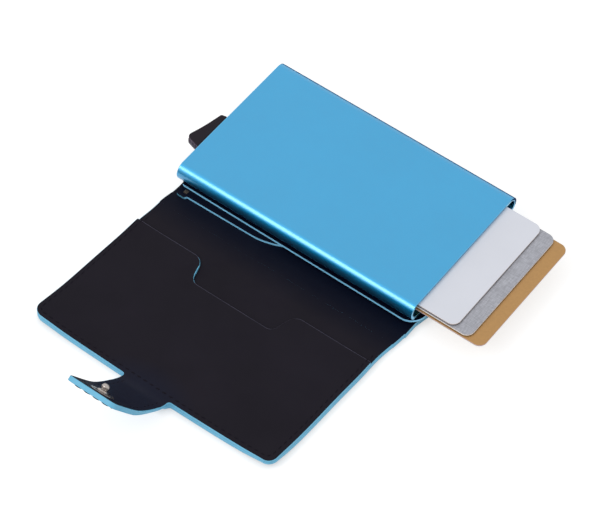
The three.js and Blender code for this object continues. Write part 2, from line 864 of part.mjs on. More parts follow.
group.updateMatrixWorld(true);

export default group;
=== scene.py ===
"""Pop up card holder: an aluminium card case with an ejector lever, on a folding leather cover with a strap.

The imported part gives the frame, and every piece here is fitted to it. X runs along the case to its mouth,
Y away from the open flap, Z up. Settings and packed places are in metres. Layouts, and sizes named in
capitals, are in millimetres from the case's front corner at its lever end.
"""

import json
import math

import bmesh
import bpy
from bpy.props import FloatProperty, FloatVectorProperty, IntProperty, PointerProperty
from bpy.types import Operator, Panel, PropertyGroup
from mathutils import Matrix, Vector


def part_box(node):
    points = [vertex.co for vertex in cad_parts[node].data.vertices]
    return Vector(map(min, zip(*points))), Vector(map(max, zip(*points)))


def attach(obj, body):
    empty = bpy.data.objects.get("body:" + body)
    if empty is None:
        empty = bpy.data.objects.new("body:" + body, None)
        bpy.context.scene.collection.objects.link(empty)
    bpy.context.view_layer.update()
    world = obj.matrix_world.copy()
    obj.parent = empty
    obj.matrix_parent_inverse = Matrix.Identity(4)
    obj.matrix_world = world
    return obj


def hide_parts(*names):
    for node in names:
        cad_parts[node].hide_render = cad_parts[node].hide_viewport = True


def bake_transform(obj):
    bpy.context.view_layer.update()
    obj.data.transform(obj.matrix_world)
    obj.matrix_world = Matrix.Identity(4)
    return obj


bl_info = {
    "name": "Pop up card holder",
    "version": (1, 0, 0),
    "blender": (4, 5, 0),
    "location": "View3D > Sidebar > Card holder",
    "description": "Builds an aluminium pop up card case on a folding leather cover",
    "category": "Add Mesh",
}

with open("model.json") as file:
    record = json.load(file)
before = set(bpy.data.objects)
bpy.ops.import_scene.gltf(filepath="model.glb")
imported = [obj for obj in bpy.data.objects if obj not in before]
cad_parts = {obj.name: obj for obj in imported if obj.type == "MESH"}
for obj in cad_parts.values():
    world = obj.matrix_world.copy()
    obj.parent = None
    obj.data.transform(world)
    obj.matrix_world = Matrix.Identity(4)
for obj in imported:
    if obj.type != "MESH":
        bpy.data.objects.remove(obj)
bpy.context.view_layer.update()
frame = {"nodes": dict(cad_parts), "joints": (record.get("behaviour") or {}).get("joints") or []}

MM = 0.001

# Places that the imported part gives
case_low, case_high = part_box("case_shell")
slip_low, slip_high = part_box("slip_pocket_panel")
panel_low, panel_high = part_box("case_panel")
pocket_low, pocket_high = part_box("flap_pocket")
socket_low, socket_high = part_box("snap_socket")
socket_middle = (socket_low + socket_high) / 2
cover_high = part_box("rear_cover")[1]
lining_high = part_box("rear_lining")[1]
joint_places = {joint["name"]: Vector(joint.get("pos_m", (0, 0, 0))) for joint in frame["joints"]}
spine_fold = joint_places["spine_fold"]
flap_fold = joint_places["flap_fold"]

# The case's front corner at its lever end, where layouts start
CORNER = Vector((case_low.x, case_low.y, 0))
FOLD_Y = (spine_fold.y - CORNER.y) / MM
FLAP_FOLD_Y = (flap_fold.y - CORNER.y) / MM
FLAP_END_Y = (pocket_low.y - CORNER.y) / MM
SPINE_MIDDLE_Y = (FOLD_Y + FLAP_FOLD_Y) / 2
BACK_INSET = 0.3
COVER_BACK_Y = (cover_high.y - CORNER.y) / MM - BACK_INSET
PANEL_BACK_Y = (panel_high.y - CORNER.y) / MM - BACK_INSET
LEATHER_BOTTOM = 0.06
LINING_TOP = lining_high.z / MM
POCKET_TOP = pocket_high.z / MM

# The snap's socket, the hole round it in the cover, and the holes above it that the stud stands in
SOCKET = ((socket_middle.x - CORNER.x) / MM, (socket_middle.y - CORNER.y) / MM)
SOCKET_ROOM = 4.6
STUD_ROOM = 2.4

# The lever's thumb piece: outlines are (x, y, corner radius). Its ribs stand in a row along its front.
LEVER_OUTLINE = [
    (-0.75, 13.3, 0.4), (-0.75, 31.0, 0.4), (-3.15, 30.5, 0.7), (-4.9, 22.5, 60.0), (-7.3, 15.2, 2.0),
]
LEVER_BOTTOM = 7.4
LEVER_TOP = 11.15
RIB_COUNT = 6
RIB_SIZE = (0.34, 0.42, 1.75)
FIRST_RIB = Vector((-5.8, 14.87, (LEVER_TOP + LEVER_BOTTOM) / 2 + 0.1))
RIB_STEP = Vector((0.92, -0.28, 0))
# Forward-looking faces nearer the front than this Y take the paler plastic: thumb wear and a painted
# highlight
WORN_AND_HIGHLIT_TO_Y = 15.7

# The flap's sides lean towards the lever end: where they are at the spine and at the flap's end
SPINE_LEFT = 0.7
SPINE_RIGHT = 104.9
FLAP_END_LEFT = -4.9
FLAP_END_RIGHT = 100.6

# The flap's pocket: its mouth, and the floor of the thumb notch between two places in X. The stitching
# round the flap ends nearer the spine.
MOUTH_Y = -20.9
NOTCH_FLOOR_Y = -31.1
NOTCH_FROM_X = 20
NOTCH_TO_X = 80
SEWN_TO_Y = -17

# The strap, by length along it from the flap's end. THICKENS is (start, length of the stretch), and
# ROOT_RISE is (how much higher the root springs, over which length).
STRAP_CENTRE_X = 46.9
STRAP_HALF = 10.1
STRAP_LEFT = STRAP_CENTRE_X - STRAP_HALF
STRAP_RIGHT = STRAP_CENTRE_X + STRAP_HALF
STRAP_LENGTH = 42.4
STRAP_THICKNESS = 1.35
STRAP_END_THICKNESS = 1.95
THICKENS = (11, 12)
THINS_OVER = 3.5
ROOT_RISE = (0.35, 4)
SETTLED_AT = 32
STRAIGHT_AT = 15
STRAP_ROOT_CURL = (5.0, math.radians(38))
STRAP_MORE_CURL = (20.0, math.radians(20))
STRAP_SEAM = 6.0
STRAP_MIDDLE_SEAM = 15.0
NECK_BEND = (7.6, 14.0)
END_BEND = (20.8, 24.0)
STUD_PLACE = 33.2

# The snap's turned parts: (radius, height) from the strap's inner face
STUD_PROFILE = [
    (0.0, -1.8), (1.1, -1.8), (1.1, 0.0), (4.5, 0.0), (4.6, 0.06), (4.5, 0.14), (2.9, 0.24), (2.4, 0.4),
    (2.0, 0.75), (1.6, 0.98), (1.05, 1.08), (1.0, 1.22), (1.34, 1.5), (1.5, 1.95), (1.48, 2.35),
    (1.32, 2.75), (0.98, 3.08), (0.55, 3.28), (0.0, 3.34),
]
CAP_PROFILE = [
    (0.0, -2.3), (2.2, -2.25), (3.4, -2.14), (3.95, -2.02), (4.0, -1.93), (3.9, -1.8), (0.0, -1.8),
]

# How the worn leather lies. A bow is (size, place, width) and a lift is (size, place across, width,
# place along, width). Places and widths are shares of the flap, but the spine's bow goes by Y.
SPINE_BOWS = [(0.45, -7.5, 4.5)]
LEFT_BOWS = [(0.55, 0.2, 0.16), (0.35, 0.5, 0.25)]
RIGHT_BOWS = [(0.9, 0.16, 0.14), (0.7, 0.42, 0.25)]
END_BOWS = [(0.7, 0.58, 0.35)]
EDGE_LIFTS = [(0.35, 0.0, 0.06, 0.24, 0.07), (0.30, 1.0, 0.06, 0.22, 0.07)]
UNDERSIDE_LIFTS = [(1.3, 1.0, 0.10, 1.0, 0.10)]

# The lining is painted darker and bluer from the first Y to the second, towards the spine: painted shade and
# a painted reflection of the blue case. It also turns bluer within a reach in metres from a place on the
# strap
FOLD_SHADE_Y = (-17, -6.5)
STRAP_BLUE_CENTRE = (STRAP_CENTRE_X + 1, FLAP_END_Y - 17, 10)
STRAP_BLUE_REACH = (0.018, 0.028)

# A face of the leather is flat, not part of its edge, when its normal is steeper than this
FLAT = 0.75

# The bar tack's stitches
TACK_COUNT = 6
FIRST_TACK = (4.3, -0.8)
TACK_STEP = 0.27
TACK_SLANT = 0.1
TACK_SIZE = (0.17, 0.95, 0.2, 1)

# The stage, in metres: a large lamp in front, the dark card that only reflections see, and the reach of
# the floor's contact shadow
LAMP_AIM = Vector((0, -0.03, 0.01))
LAMP_DIRECTION = Vector((-0.361, -0.575, 0.735))
LAMP_DISTANCE = 1.2
LAMP_SIZE = (0.40, 0.60)
FRONT_CARD = [
    (-0.15, -0.258), (0.3, -0.258), (0.3, -0.118), (-0.062, -0.118), (-0.062, -0.080), (-0.15, -0.080)]
BACK_CARD = [(-0.13, 0.036), (0.09, 0.036), (0.09, 0.115), (-0.13, 0.115)]
CARD_HEIGHT = 0.001
UPRIGHT_HEIGHT = 0.105
CONTACT_SHADOW = 0.003


# Settings that a user would change


def number_setting(name, description, default, **kind):
    return FloatProperty(name=name, description=description, default=default, **kind)


def length_setting(name, description, default):
    return number_setting(name, description, default, unit="LENGTH")


def colour_setting(name, description, *default):
    return FloatVectorProperty(
        name=name, description=description, default=(*default, 1), subtype="COLOR", size=4)


class CaseSettings(PropertyGroup):
    wall: length_setting("Wall", "Thickness of the case's wall", 0.0012)
    rim: length_setting("Rim chamfer", "Cut chamfer around the card mouth", 0.00012)
    lever_rim: length_setting("Lever rim chamfer", "Cut chamfer around the lever end", 0.0003)
    mouth_inset: length_setting("Mouth inset", "How much shorter the case is than the packed one", 0.0005)
    round_steps: IntProperty(name="Round steps", description="Facets round both long sides", default=96)
    blue: colour_setting("Blue", "Colour of the anodised aluminium", 0.005, 0.350, 0.664)
    rim_blue: colour_setting("Rim blue", "Colour of the cut and polished rims", 0.16, 0.50, 0.76)
    plastic: colour_setting("Plastic", "Colour of the lever and the end cap", 0.012, 0.008, 0.013)


class CardSettings(PropertyGroup):
    corner: length_setting("Corner", "Radius of a card's corners", 0.00318)
    edge: length_setting("Edge", "Rounding of a card's upper edges", 0.00008)
    # This rounding is painted nearly black, as painted shade under each card's edge
    lower_edge: length_setting("Lower edge", "Rounding of a card's lower edges", 0.0003)
    white: colour_setting("White", "Colour of the first card", 0.68, 0.70, 0.77)
    white_core: colour_setting("White core", "Colour of its cut edge", 0.86, 0.74, 0.70)
    silver: colour_setting("Silver", "Colour of the second card", 0.338, 0.345, 0.385)
    silver_core: colour_setting("Silver core", "Colour of its cut edge", 1.0, 0.90, 0.82)
    gold: colour_setting("Gold", "Colour of the third card", 0.431, 0.235, 0.077)
    gold_core: colour_setting("Gold core", "Colour of its cut edge", 0.60, 0.42, 0.42)


class LeatherSettings(PropertyGroup):
    blue: colour_setting("Blue leather", "Colour of the outer leather", 0.10, 0.45, 0.70)
    edge_paint: colour_setting("Edge paint", "Colour of the painted edges", 0.150, 0.480, 0.70)
    # Edge paint made lighter for the thin panels: a painted highlight
    lit_panel_edge: colour_setting("Panel edge", "Colour of the thin panels' painted edges", 0.27, 0.68, 1.0)
    lining: colour_setting("Lining", "Colour of the dark lining", 0.0080, 0.0064, 0.0112)
    # Painted shade and a painted reflection of the blue case: the lining in the fold, and the panels' tops
    # under the case
    fold_painted_shade: colour_setting("Fold lining", "Colour of the lining in the fold", 0.0010, 0.0018, 0.0090)
    strap_lining: colour_setting("Strap lining", "Colour of the strap's lining", 0.0075, 0.0088, 0.0210)
    # A lighter line on the rounding of the pocket's mouth as painted highlight, also used on the notch's −X
    # wall as painted shade
    mouth_highlight_and_shade: colour_setting("Crease", "Colour of the creased line at the pocket's mouth", 0.085, 0.080, 0.120)
    thread: colour_setting("Thread", "Colour of the stitching", 0.0064, 0.0053, 0.0090)
    rounding: length_setting("Edge rounding", "Rounding of the leather's edges", 0.00045)
    stitch_pitch: length_setting("Stitch pitch", "From one stitch to the next", 0.0028)
    long_pitch: length_setting("Long stitch pitch", "The same, on the strap's outer face", 0.0042)
    stitch_inset: length_setting("Stitch inset", "From the strap's edge to the stitch line", 0.0024)
    flap_inset: length_setting("Flap stitch inset", "The same, round the flap", 0.0018)
    left_curl: length_setting("Left curl", "How far the flap's left corner lifts", 0.0016)
    right_curl: length_setting("Right curl", "How far the flap's right corner lifts", 0.0008)


class StageSettings(PropertyGroup):
    azimuth: number_setting("Azimuth", "Camera's angle round it", math.radians(37.1107), subtype="ANGLE")
    elevation: number_setting("Elevation", "Camera's height angle", math.radians(53.2628), subtype="ANGLE")
    distance: length_setting("Distance", "From the camera to the aim point", 1.078472)
    lens: number_setting("Lens", "Focal length in mm on a 36 mm sensor", 180.0)
    aim: FloatVectorProperty(
        name="Aim", description="Point that the camera looks at", size=3, subtype="TRANSLATION",
        default=(-0.002009, -0.024984, -0.005858))
    sky: number_setting("Sky", "Strength of the even light from all round", 0.84)
    softbox: number_setting("Softbox", "Power of the large lamp in front", 3.2)
    floor_glow: number_setting("Floor glow", "Emission that whitens the floor", 1.40)


# Mesh helpers


def placed(x, y, z):
    """A layout point in millimetres, as a place in metres."""
    return CORNER + Vector((x, y, z)) * MM


def bevel(mesh, geom, offset, segments, affect="EDGES", clamp_overlap=False):
    bmesh.ops.bevel(
        mesh, geom=geom, offset=offset, offset_type="OFFSET", affect=affect, segments=segments, profile=0.5,
        material=-1, clamp_overlap=clamp_overlap)


def rounded_face(mesh, corners, height, segments):
    """One flat face through (x, y, radius) corners, each rounded by a bevel of its vertex."""
    points = [mesh.verts.new((x, y, height)) for x, y, _ in corners]
    mesh.faces.new(points)
    count = len(corners)
    for k, (x, y, radius) in enumerate(corners):
        if radius == 0:
            continue
        here = Vector((x, y))
        into = Vector(corners[k - 1][:2]) - here
        away = Vector(corners[(k + 1) % count][:2]) - here
        half = into.angle(away) / 2
        bevel(mesh, [points[k]], radius / math.tan(half), segments, affect="VERTICES")
    return mesh.faces[:]


def slab(corners, bottom, top, rounding, segments=8, seams=(), lower_rounding=None, hole=None):
    """A flat sheet with rounded corners and softened edges. Edges along a seam, at its Y, stay square."""
    mesh = bmesh.new()
    faces = rounded_face(mesh, corners, bottom, segments)
    if hole:
        x, y, radius = hole
        bmesh.ops.create_circle(mesh, segments=40, radius=radius, matrix=Matrix.Translation((x, y, bottom)))
        bmesh.ops.delete(mesh, geom=faces, context="FACES_ONLY")
        bmesh.ops.triangle_fill(mesh, use_beauty=True, use_dissolve=False, edges=mesh.edges[:])
        faces = mesh.faces[:]
    raised = bmesh.ops.extrude_face_region(mesh, geom=faces)["geom"]
    bmesh.ops.translate(mesh, verts=only_verts(raised), vec=(0, 0, top - bottom))
    bmesh.ops.recalc_face_normals(mesh, faces=mesh.faces[:])
    soften(mesh, bottom, lower_rounding or rounding, seams)
    soften(mesh, top, rounding, seams)
    return mesh


def only_verts(items):
    return [item for item in items if isinstance(item, bmesh.types.BMVert)]


def soften(mesh, height, rounding, seams, segments=3):
    """Rounds the edge all round a slab's face at one height."""
    tolerance = 1e-4
    level = 0.99

    def on_seam(edge):
        return any(all(abs(vert.co.y - seam) < tolerance for vert in edge.verts) for seam in seams)

    rim = [
        edge for edge in mesh.edges
        if all(abs(vert.co.z - height) < tolerance for vert in edge.verts)
        and sum(abs(face.normal.z) > level for face in edge.link_faces) == 1 and not on_seam(edge)]
    bevel(mesh, rim, rounding, segments, clamp_overlap=True)


def block(low, high, radius, rounding, segments, lower_rounding=None):
    """A slab that fills a packed box, in metres."""
    corners = [(low.x, low.y), (high.x, low.y), (high.x, high.y), (low.x, high.y)]
    return slab([(x / MM, y / MM, radius / MM) for x, y in corners], low.z / MM, high.z / MM,
                rounding=rounding / MM, segments=segments, lower_rounding=lower_rounding)


def slice_mesh(mesh, axis, places):
    """Cuts a mesh across X or Y at each place, so that it can bend there."""
    normal = Vector((1, 0, 0)) if axis == "x" else Vector((0, 1, 0))
    for place in places:
        bmesh.ops.bisect_plane(
            mesh, geom=mesh.verts[:] + mesh.edges[:] + mesh.faces[:], dist=1e-5,
            plane_co=normal * place, plane_no=normal)


def steps(start, end, step):
    """Evenly spaced places from start to end."""
    count = max(1, round(abs(end - start) / step))
    return [start + (end - start) * k / count for k in range(count + 1)]


def paint_faces(mesh, chosen=lambda face: 0):
    """Gives each face the material number that chosen returns for it."""
    for face in mesh.faces:
        face.material_index = chosen(face)
        face.smooth = True


def leather_part(face):
    """0 on the outer face, 1 on the lining and 2 on the painted edge."""
    return int(face.normal.z > 0) if abs(face.normal.z) > FLAT else 2


def to_metres(mesh):
    """Moves a mesh from the layout to its place."""
    for vert in mesh.verts:
        vert.co = placed(*vert.co)


def scale_to_metres(mesh):
    bmesh.ops.scale(mesh, vec=(MM, MM, MM), verts=mesh.verts[:])


def finished(mesh, name, finishes, body=None, replaces=(), sharp=35, weighted=True):
    """Turns a mesh into a piece at the origin, with its finishes and body, and hides the imported parts it
    replaces.
    """
    data = bpy.data.meshes.new(name)
    mesh.to_mesh(data)
    mesh.free()
    data.set_sharp_from_angle(angle=math.radians(sharp))
    piece = bpy.data.objects.new(name, data)
    bpy.context.scene.collection.objects.link(piece)
    for finish in finishes:
        data.materials.append(finish.material)
    if weighted:
        modifier = piece.modifiers.new("Even shading", "WEIGHTED_NORMAL")
        modifier.keep_sharp = True
    if body:
        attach(piece, body)
    if replaces:
        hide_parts(*replaces)
    return piece


def dress(node, finish):
    """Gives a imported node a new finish."""
    materials = frame["nodes"][node].data.materials
    materials.clear()
    materials.append(finish.material)


# Materials


def add_node(tree, kind, inputs=()):
    """A shader node, with each input set to a value or linked to a socket."""
    node = tree.nodes.new("ShaderNode" + kind)
    for key, value in dict(inputs).items():
        if isinstance(value, bpy.types.NodeSocket):
            tree.links.new(value, node.inputs[key])
        else:
            node.inputs[key].default_value = value
    return node


def maths(tree, operation, first, second):
    node = add_node(tree, "Math", {0: first, 1: second})
    node.operation = operation
    return node.outputs[0]


class Finish:
    """A material under construction. Its patches, uneven roughness, pores and grain may be given at once."""

    def __init__(self, name, colour, roughness, metallic=0.0, specular=0.5, mottle=(), varied=(), pores=(),
                 grain=(), more=()):
        self.material = bpy.data.materials.new(name)
        self.material.use_nodes = True
        self.tree = self.material.node_tree
        self.shader = self.tree.nodes["Principled BSDF"]
        self.colour = colour
        self.bump = None
        inputs = {"Base Color": colour, "Roughness": roughness, "Metallic": metallic}
        for socket, value in {**inputs, "Specular IOR Level": specular, **dict(more)}.items():
            self.shader.inputs[socket].default_value = value
        self.place = self.add("TexCoord").outputs["Object"]
        effects = {self.mottle: mottle, self.vary_roughness: varied, self.pores: pores, self.grain: grain}
        for effect, values in effects.items():
            if values:
                effect(*values)

    def add(self, kind, inputs=()):
        return add_node(self.tree, kind, inputs)

    def stretched(self, scale, turn=0.0):
        """Object coordinates stretched along the axes, for brushed marks."""
        inputs = {"Scale": scale, "Rotation": (0, 0, turn), "Vector": self.place}
        return self.add("Mapping", inputs).outputs["Vector"]

    def noise(self, scale, detail=3, place=None):
        inputs = {"Scale": scale, "Detail": detail, "Vector": place or self.place}
        return self.add("TexNoise", inputs).outputs["Fac"]

    def cells(self, scale, feature="F1"):
        texture = self.add("TexVoronoi", {"Scale": scale, "Vector": self.place})
        texture.feature = feature
        return texture.outputs["Distance"]

    def ranged(self, value, low, high, from_low=0.3, from_high=0.7):
        inputs = {"From Min": from_low, "From Max": from_high, "To Min": low, "To Max": high, "Value": value}
        return self.add("MapRange", inputs).outputs["Result"]

    def vary_roughness(self, scale, low, high, detail=3):
        varied = self.ranged(self.noise(scale, detail), low, high)
        self.tree.links.new(varied, self.shader.inputs["Roughness"])

    def vary_colour(self, value, other, low=0.0, high=1.0):
        """Mixes another colour into the base colour where the value is high."""
        mix = self.add("Mix")
        mix.data_type = "RGBA"
        links, base = self.tree.links, self.shader.inputs["Base Color"]
        links.new(self.ranged(value, low, high), mix.inputs["Factor"])
        if base.links:
            links.new(base.links[0].from_socket, mix.inputs["A"])
        else:
            mix.inputs["A"].default_value = self.colour
        mix.inputs["B"].default_value = other
        links.new(mix.outputs["Result"], base)

    def mottle(self, scale, other, most, detail=3, place=None):
        """Patches of another colour, or of the base colour times a number, mixed in up to a share."""
        if isinstance(other, float):
            other = tinted(self.colour, other)
        self.vary_colour(self.noise(scale, detail, place), other, 0.0, most)

    def relief(self, height, strength, distance):
        """Adds a bump on top of those already there."""
        bump = self.add("Bump", {"Strength": strength, "Distance": distance, "Height": height})
        if self.bump:
            self.tree.links.new(self.bump, bump.inputs["Normal"])
        self.bump = bump.outputs["Normal"]
        self.tree.links.new(self.bump, self.shader.inputs["Normal"])

    def grain(self, scale, strength, distance, detail=3, place=None):
        self.relief(self.noise(scale, detail, place), strength, distance)

    def pores(self, scale, strength, distance, feature="F1"):
        self.relief(self.cells(scale, feature), strength, distance)


def tinted(colour, share):
    """A colour made lighter or darker by a share."""
    return tuple(min(1.0, max(0.0, part * share)) for part in colour[:3]) + (1.0,)


def anodised_blue(settings):
    return Finish(
        "anodised_blue", settings.blue, 0.43, metallic=1.0, mottle=(45, 0.93, 0.5, 2),
        varied=(260, 0.40, 0.46), grain=(5200, 0.08, 0.00004, 2),
        more={"Coat Weight": 1.0, "Coat Roughness": 0.18, "Coat IOR": 1.8})


def cut_rim(settings):
    finish = Finish("cut_rim", settings.rim_blue, 0.22, metallic=0.9)
    finish.grain(900, 0.1, 0.00005, 2, finish.stretched((1, 0.1, 0.1)))
    return finish


def moulded_plastic(settings):
    return Finish("moulded_plastic", settings.plastic, 0.42, specular=0.16, varied=(320, 0.38, 0.5, 2),
                  pores=(2600, 0.12, 0.00005))


def worn_and_highlit_plastic(settings):
    """The lever's ribs and front, rubbed pale by the thumb and also lighter as a painted highlight, since
    only faces that look forward take it.
    """
    return Finish("worn_and_highlit_plastic", tinted(settings.plastic, 4.5), 0.35, specular=0.4,
                  mottle=(1300, tinted(settings.plastic, 9.0), 0.7, 2), pores=(2600, 0.12, 0.00005))


def card_face(name, colour, roughness, metallic=0.0):
    return Finish(name, colour, roughness, metallic, mottle=(60, 0.95, 0.6, 2),
                  grain=(2600, 0.04, 0.00003, 2), more={"Coat Weight": 0.2, "Coat Roughness": 0.25})


def silver_face(settings):
    """Brushed both along and across one direction."""
    finish = card_face("silver_laminate", settings.silver, 0.36, metallic=0.35)
    brushed = math.radians(62)
    finish.mottle(3400, 1.6, 0.8, place=finish.stretched((1.0, 0.12, 1.0), brushed))
    finish.mottle(3400, 0.68, 0.6, place=finish.stretched((0.12, 1.0, 1.0), brushed))
    return finish


def gold_face(settings):
    finish = card_face("gold_laminate", settings.gold, 0.36, metallic=0.3)
    finish.mottle(1300, 1.15, 0.6)
    return finish


def card_core(name, colour):
    finish = Finish(name, colour, 0.5, mottle=(1500, 0.85, 0.8, 2))
    finish.grain(3000, 0.2, 0.00004, 2, finish.stretched((0.05, 0.05, 1)))
    return finish


def lining_leather(settings, name, colour=None, fold=False):
    """Smooth dark leather. With fold, it is painted darker and bluer towards the spine as painted shade and a
    painted reflection of the case, and bluer on the strap.
    """
    finish = Finish(name, colour or settings.lining, 0.5, specular=0.1, mottle=(38, 1.4, 0.7))
    if fold:
        axes = finish.add("SeparateXYZ", {"Vector": finish.place})
        start, end = (placed(0, y, 0).y for y in FOLD_SHADE_Y)
        finish.vary_colour(finish.ranged(axes.outputs["Y"], 0.3, 0.7, start, end), settings.fold_painted_shade)
        away = finish.add("VectorMath", {0: finish.place, 1: placed(*STRAP_BLUE_CENTRE)})
        away.operation = "DISTANCE"
        near = finish.ranged(away.outputs["Value"], 0.7, 0.3, *STRAP_BLUE_REACH)
        finish.vary_colour(near, settings.strap_lining)
    finish.vary_roughness(140, 0.44, 0.58)
    finish.pores(1500, 0.16, 0.00006, "DISTANCE_TO_EDGE")
    finish.grain(420, 0.12, 0.00010)
    return finish


def blue_leather(settings):
    finish = Finish("blue_leather", settings.blue, 0.5, specular=0.35, mottle=(32, 0.86, 0.8))
    furrows = finish.ranged(finish.cells(1150, "DISTANCE_TO_EDGE"), 1, 0, 0.0, 0.16)
    finish.vary_colour(furrows, tinted(settings.blue, 0.72), 0.0, 0.35)
    finish.vary_roughness(180, 0.42, 0.6)
    finish.pores(1150, 0.3, 0.00010, "DISTANCE_TO_EDGE")
    finish.grain(300, 0.15, 0.00012)
    return finish


def painted_edge(name, colour):
    return Finish(name, colour, 0.45, specular=0.3, mottle=(180, 0.88, 0.7), grain=(520, 0.25, 0.00012))


def cover_finishes(settings, lining_name):
    """Outer leather, lining and painted edge, in the order of leather_part."""
    return [blue_leather(settings), lining_leather(settings, lining_name, fold=True),
            painted_edge("painted_edge", settings.edge_paint)]


# Painted highlight along the pocket's mouth, and painted shade on the notch's wall facing −X
def mouth_highlight_and_shade(settings):
    return Finish("mouth_highlight_and_shade", settings.mouth_highlight_and_shade, 0.5, specular=0.1, mottle=(90, 0.45, 0.9),
                  grain=(700, 0.2, 0.00008))


def waxed_thread(settings):
    return Finish("waxed_thread", settings.thread, 0.8, specular=0.08, mottle=(2400, 2.0, 0.6, 2),
                  grain=(4200, 0.4, 0.00006, 2))


def tack_thread():
    return Finish("tack_thread", (0.062, 0.050, 0.040, 1), 0.7, specular=0.1,
                  mottle=(1800, (0.13, 0.11, 0.09, 1), 0.7, 2), grain=(5200, 0.5, 0.00008, 2))


def nickel(name, colour, roughness, metallic=1.0):
    return Finish(name, colour, roughness, metallic, mottle=(700, 0.75, 0.8),
                  varied=(900, roughness, roughness + 0.14), grain=(1600, 0.08, 0.00004, 2))


def felt():
    return Finish("felt", (0.012, 0.012, 0.014, 1), 0.95, specular=0.1, more={"Sheen Weight": 0.3},
                  mottle=(1900, (0.03, 0.03, 0.034, 1), 0.8, 4), grain=(2600, 0.7, 0.0002, 4))


def foam_tape():
    return Finish("foam_tape", (0.27, 0.28, 0.31, 1), 0.85, mottle=(1200, (0.2, 0.21, 0.23, 1), 0.8),
                  pores=(2200, 0.4, 0.0001))


def dark_card():
    """Near black with a trace of blue, for reflections."""
    return Finish("dark_card", (0.002, 0.002, 0.004, 1), 0.9, specular=0.0,
                  mottle=(6, (0.003, 0.003, 0.005, 1), 1.0, 1),
                  more={"Emission Color": (0, 0, 0.06, 1), "Emission Strength": 1.0})


def floor_paint(settings):
    """White to the camera and to reflections, apart from a contact shadow, and grey to other light."""
    finish = Finish("floor_paint", (0.86, 0.86, 0.86, 1), 0.9, specular=0.0,
                    mottle=(3, (0.85, 0.85, 0.85, 1), 0.5, 1))
    seen = finish.add("LightPath").outputs
    either = maths(finish.tree, "MAXIMUM", seen["Is Camera Ray"], seen["Is Glossy Ray"])
    share = maths(finish.tree, "MULTIPLY", either, 0.5)
    near = finish.add("AmbientOcclusion", {"Distance": CONTACT_SHADOW}).outputs["AO"]
    darkest = 0.50
    glow = finish.add("Emission", {
        "Strength": settings.floor_glow, "Color": finish.ranged(near, darkest, 1.0, 0.0, 1.0)})
    mix = finish.add("MixShader", {
        "Fac": share, 1: finish.shader.outputs["BSDF"], 2: glow.outputs["Emission"]})
    finish.tree.links.new(mix.outputs["Shader"], finish.tree.nodes["Material Output"].inputs["Surface"])
    return finish


# The flap's and the strap's shape: a flat layout, then a bend


def side_x(y, spine_x, end_x):
    return spine_x + (end_x - spine_x) * (y - FOLD_Y) / (FLAP_END_Y - FOLD_Y)


def left_x(y):
    return side_x(y, SPINE_LEFT, FLAP_END_LEFT)


def right_x(y):
    return side_x(y, SPINE_RIGHT, FLAP_END_RIGHT)


def progress(value, start, length):
    """How far a value has come along a stretch, from 0 to 1."""
    return min(max((value - start) / length, 0.0), 1.0)


def bell(value, centre, width):
    """A smooth hump of height 1."""
    return math.exp(-((value - centre) / width) ** 2)


def bowed(value, bows):
    return sum(size * bell(value, place, width) for size, place, width in bows)


def lifted(across, along, lifts):
    return sum(size * bell(across, x, wide) * bell(along, y, deep) for size, x, wide, y, deep in lifts)


def strap_angle(s):
    """How far the strap has curled up at a length along it."""
    root_length, root_angle = STRAP_ROOT_CURL
    more_length, more_angle = STRAP_MORE_CURL
    return root_angle * progress(s, 0, root_length) + more_angle * progress(s, root_length, more_length)


def strap_rise(s):
    """The strap's root springs from the pocket panel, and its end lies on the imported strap's curve."""
    more, over = ROOT_RISE
    springs = POCKET_TOP - LINING_TOP + more * progress(s, 0, over)
    return springs * (0.5 + 0.5 * math.cos(math.pi * progress(s, 0, SETTLED_AT)))


def strap_thickness(s):
    """The strap is thicker at its end, where it is folded over the rivet."""
    return STRAP_THICKNESS + (STRAP_END_THICKNESS - STRAP_THICKNESS) * progress(s, *THICKENS)


def strap_point(s, depth):
    """(y, z) of a point of the strap: s along it and depth below its inner face."""
    y, z = FLAP_END_Y - min(s, 0.0), LINING_TOP + strap_rise(s)
    count = 48
    run = max(s, 0.0) / count
    for k in range(count):
        angle = strap_angle(run * (k + 0.5))
        y -= run * math.cos(angle)
        z += run * math.sin(angle)
    angle = strap_angle(s)
    return y - depth * math.sin(angle), z - depth * math.cos(angle)


def root_pull(x, s):
    """The strap's left side is pulled in a little where it leaves the flap."""
    most, wide, into_flap, into_strap = 0.7, 4.0, 3.0, 9
    fade = bell(s, 0.0, into_flap) if s < 0 else 1 - progress(s, 0, into_strap)
    return most * bell(x, STRAP_LEFT, wide) * fade


